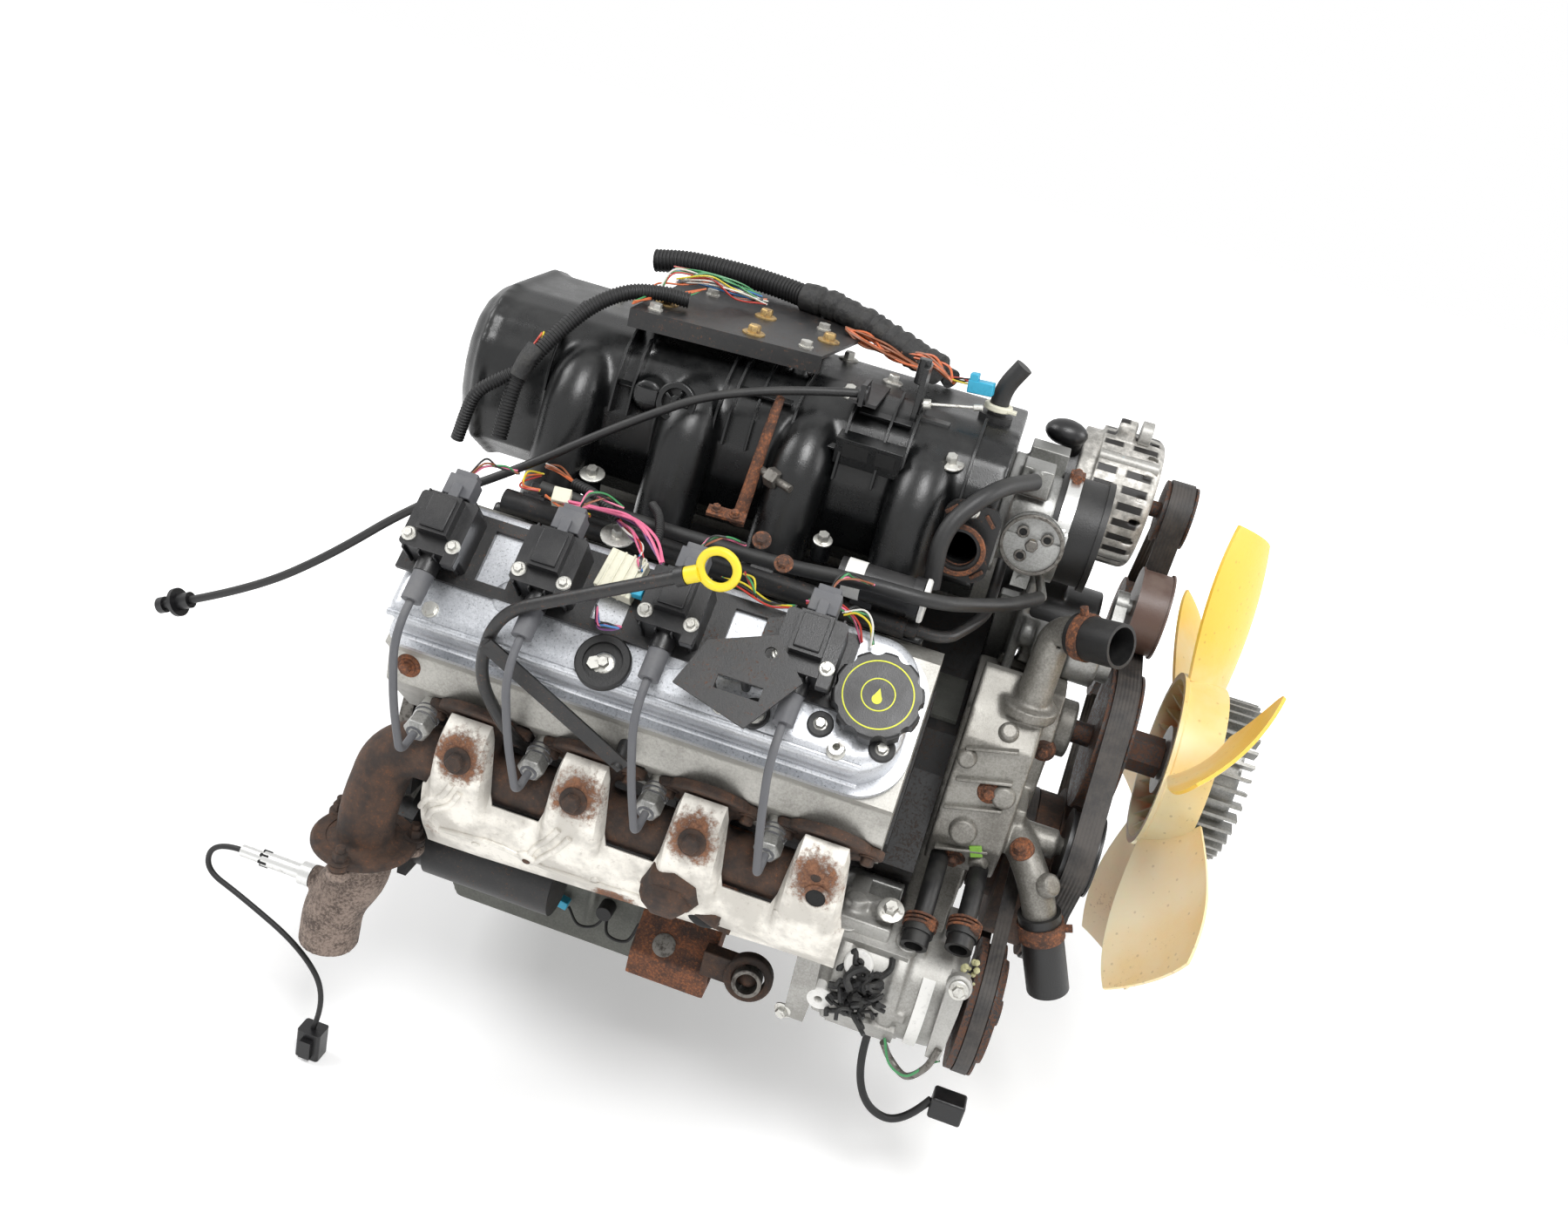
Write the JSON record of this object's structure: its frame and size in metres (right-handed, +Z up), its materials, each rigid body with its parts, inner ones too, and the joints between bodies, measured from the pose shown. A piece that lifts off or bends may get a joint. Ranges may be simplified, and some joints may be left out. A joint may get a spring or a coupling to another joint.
{
  "type": "v8 petrol engine",
  "caption": "Complete truck V8 petrol engine with intake, ignition, exhaust manifolds, belt drive, accessories and cooling fan, as pulled on a hoist.",
  "frame": {"origin": "on the crankshaft's axis in the plane of the block's rear face", "axes": "+X towards the fan, +Y to the driver's side, +Z up"},
  "size_m": [1.0559, 0.7477, 0.836],
  "materials": {
    "cast_iron_black": "black-coated casting",
    "cast_iron": "machined and cast iron",
    "rusty_iron": "rusted iron",
    "steel": "plain steel",
    "aluminised_steel": "aluminised, rust stained",
    "cast_aluminium": "weathered casting",
    "black_paint": "black paint",
    "black_plastic": "moulded",
    "brown_plastic": "moulded",
    "yellow_plastic": "moulded",
    "yellow_nylon": "yellowed nylon",
    "black_rubber": "rubber",
    "grey_rubber": "silicone rubber",
    "brass": "plain"
  },
  "bodies": {
    "engine": {"engine_block": "cast_iron_black", "plugs_and_gaskets": "steel", "front_cover": "cast_aluminium", "closing_covers": "cast_aluminium", "oil_pan": "cast_aluminium", "oil_filter": "black_paint", "pistons": "cast_aluminium", "timing_chain": "steel", "cylinder_heads": "cast_aluminium", "valve_covers": "cast_aluminium", "spark_plugs": "steel", "coil_rails": "black_paint", "ignition_coils": "black_plastic", "plug_leads": "grey_rubber", "exhaust_manifolds": "rusty_iron", "heat_shields": "aluminised_steel", "exhaust_stubs": "rusty_iron", "oxygen_sensor": "steel", "sensor_lead": "black_rubber", "connectors": "black_plastic", "intake_manifold": "black_plastic", "throttle_body": "cast_aluminium", "air_duct": "black_rubber", "clamps": "steel", "throttle_cable": "black_rubber", "cable_fittings": "steel", "fuel_rails": "black_paint", "injectors": "black_plastic", "small_hoses": "black_rubber", "steel_plates": "black_paint", "conduits": "black_plastic", "brackets": "cast_aluminium", "alternator_case": "cast_aluminium", "steering_pump": "black_plastic", "water_pump": "cast_aluminium", "coolant_hoses": "black_rubber", "belts": "black_rubber", "compressor": "cast_aluminium", "compressor_harness": "black_plastic", "starter": "black_paint", "engine_mounts": "rusty_iron", "dipstick_tube": "black_paint", "bolts": "steel"},
    "crank": {"crankshaft": "cast_iron", "crank_damper": "rusty_iron", "flexplate": "steel"},
    "cam": {"camshaft": "cast_iron"},
    "pump_rotor": {"water_pump_pulley": "black_paint"},
    "cooling_fan": {"fan_clutch": "cast_aluminium", "fan": "yellow_nylon"},
    "alternator_rotor": {"alternator_pulley": "black_paint"},
    "steering_rotor": {"steering_pulley": "black_paint"},
    "idler": {"belt_idler": "black_plastic"},
    "tensioner": {"tensioner_arm": "cast_aluminium"},
    "tensioner_wheel": {"tensioner_roller": "brown_plastic"},
    "compressor_rotor": {"compressor_pulley": "black_paint"},
    "throttle": {"throttle_plate": "brass", "throttle_lever": "steel"},
    "oil_dipstick": {"dipstick": "yellow_plastic"},
    "fill_cap": {"oil_fill_cap": "black_plastic"}
  },
  "joints": [
    {"name": "crank_spin", "type": "hinge", "parent": "engine", "child": "crank", "pos_m": [0, 0, 0], "axis": [1, 0, 0], "continuous": true},
    {"name": "cam_spin", "type": "hinge", "parent": "engine", "child": "cam", "pos_m": [0, 0, 0.1248], "axis": [1, 0, 0], "continuous": true},
    {"name": "pump_spin", "type": "hinge", "parent": "engine", "child": "pump_rotor", "pos_m": [0.66, 0, 0.172], "axis": [1, 0, 0], "continuous": true},
    {"name": "fan_spin", "type": "hinge", "parent": "pump_rotor", "child": "cooling_fan", "pos_m": [0.742, 0, 0.172], "axis": [1, 0, 0], "continuous": true},
    {"name": "alternator_spin", "type": "hinge", "parent": "engine", "child": "alternator_rotor", "pos_m": [0.66, 0.138, 0.382], "axis": [1, 0, 0], "continuous": true},
    {"name": "steering_pump_spin", "type": "hinge", "parent": "engine", "child": "steering_rotor", "pos_m": [0.66, 0.196, 0.205], "axis": [1, 0, 0], "continuous": true},
    {"name": "idler_spin", "type": "hinge", "parent": "engine", "child": "idler", "pos_m": [0.66, -0.104, 0.098], "axis": [1, 0, 0], "continuous": true},
    {"name": "tensioner_swing", "type": "hinge", "parent": "engine", "child": "tensioner", "pos_m": [0.635, 0.017, 0.251], "axis": [1, 0, 0], "range_deg": [0, 25], "stiffness_Nm_per_rad": 12, "springref_deg": -34.38},
    {"name": "tensioner_wheel_spin", "type": "hinge", "parent": "tensioner", "child": "tensioner_wheel", "pos_m": [0.66, 0.062, 0.296], "axis": [1, 0, 0], "continuous": true},
    {"name": "compressor_spin", "type": "hinge", "parent": "engine", "child": "compressor_rotor", "pos_m": [0.612, -0.202, -0.042], "axis": [1, 0, 0], "continuous": true},
    {"name": "throttle_turn", "type": "hinge", "parent": "engine", "child": "throttle", "pos_m": [0.526, 0, 0.378], "axis": [0, -1, 0], "range_deg": [0, 78], "stiffness_Nm_per_rad": 0.25, "springref_deg": -28.65},
    {"name": "dipstick_pull", "type": "slide", "parent": "engine", "child": "oil_dipstick", "axis": [0.8698, -0.0232, 0.4929], "range_m": [0, 0.1]},
    {"name": "cap_turn", "type": "hinge", "parent": "engine", "child": "fill_cap", "pos_m": [0.442, -0.30073, 0.28942], "axis": [0, -0.7071, 0.7071], "range_deg": [0, 90]}
  ],
  "couplings": [
    {"joint": "cam_spin", "follows": "crank_spin", "ratio": 0.5},
    {"joint": "pump_spin", "follows": "crank_spin", "ratio": 1.25},
    {"joint": "alternator_spin", "follows": "crank_spin", "ratio": 3},
    {"joint": "steering_pump_spin", "follows": "crank_spin", "ratio": 1.3235},
    {"joint": "idler_spin", "follows": "crank_spin", "ratio": 2.3684},
    {"joint": "tensioner_wheel_spin", "follows": "crank_spin", "ratio": -2.093},
    {"joint": "compressor_spin", "follows": "crank_spin", "ratio": 1.3333}
  ]
}
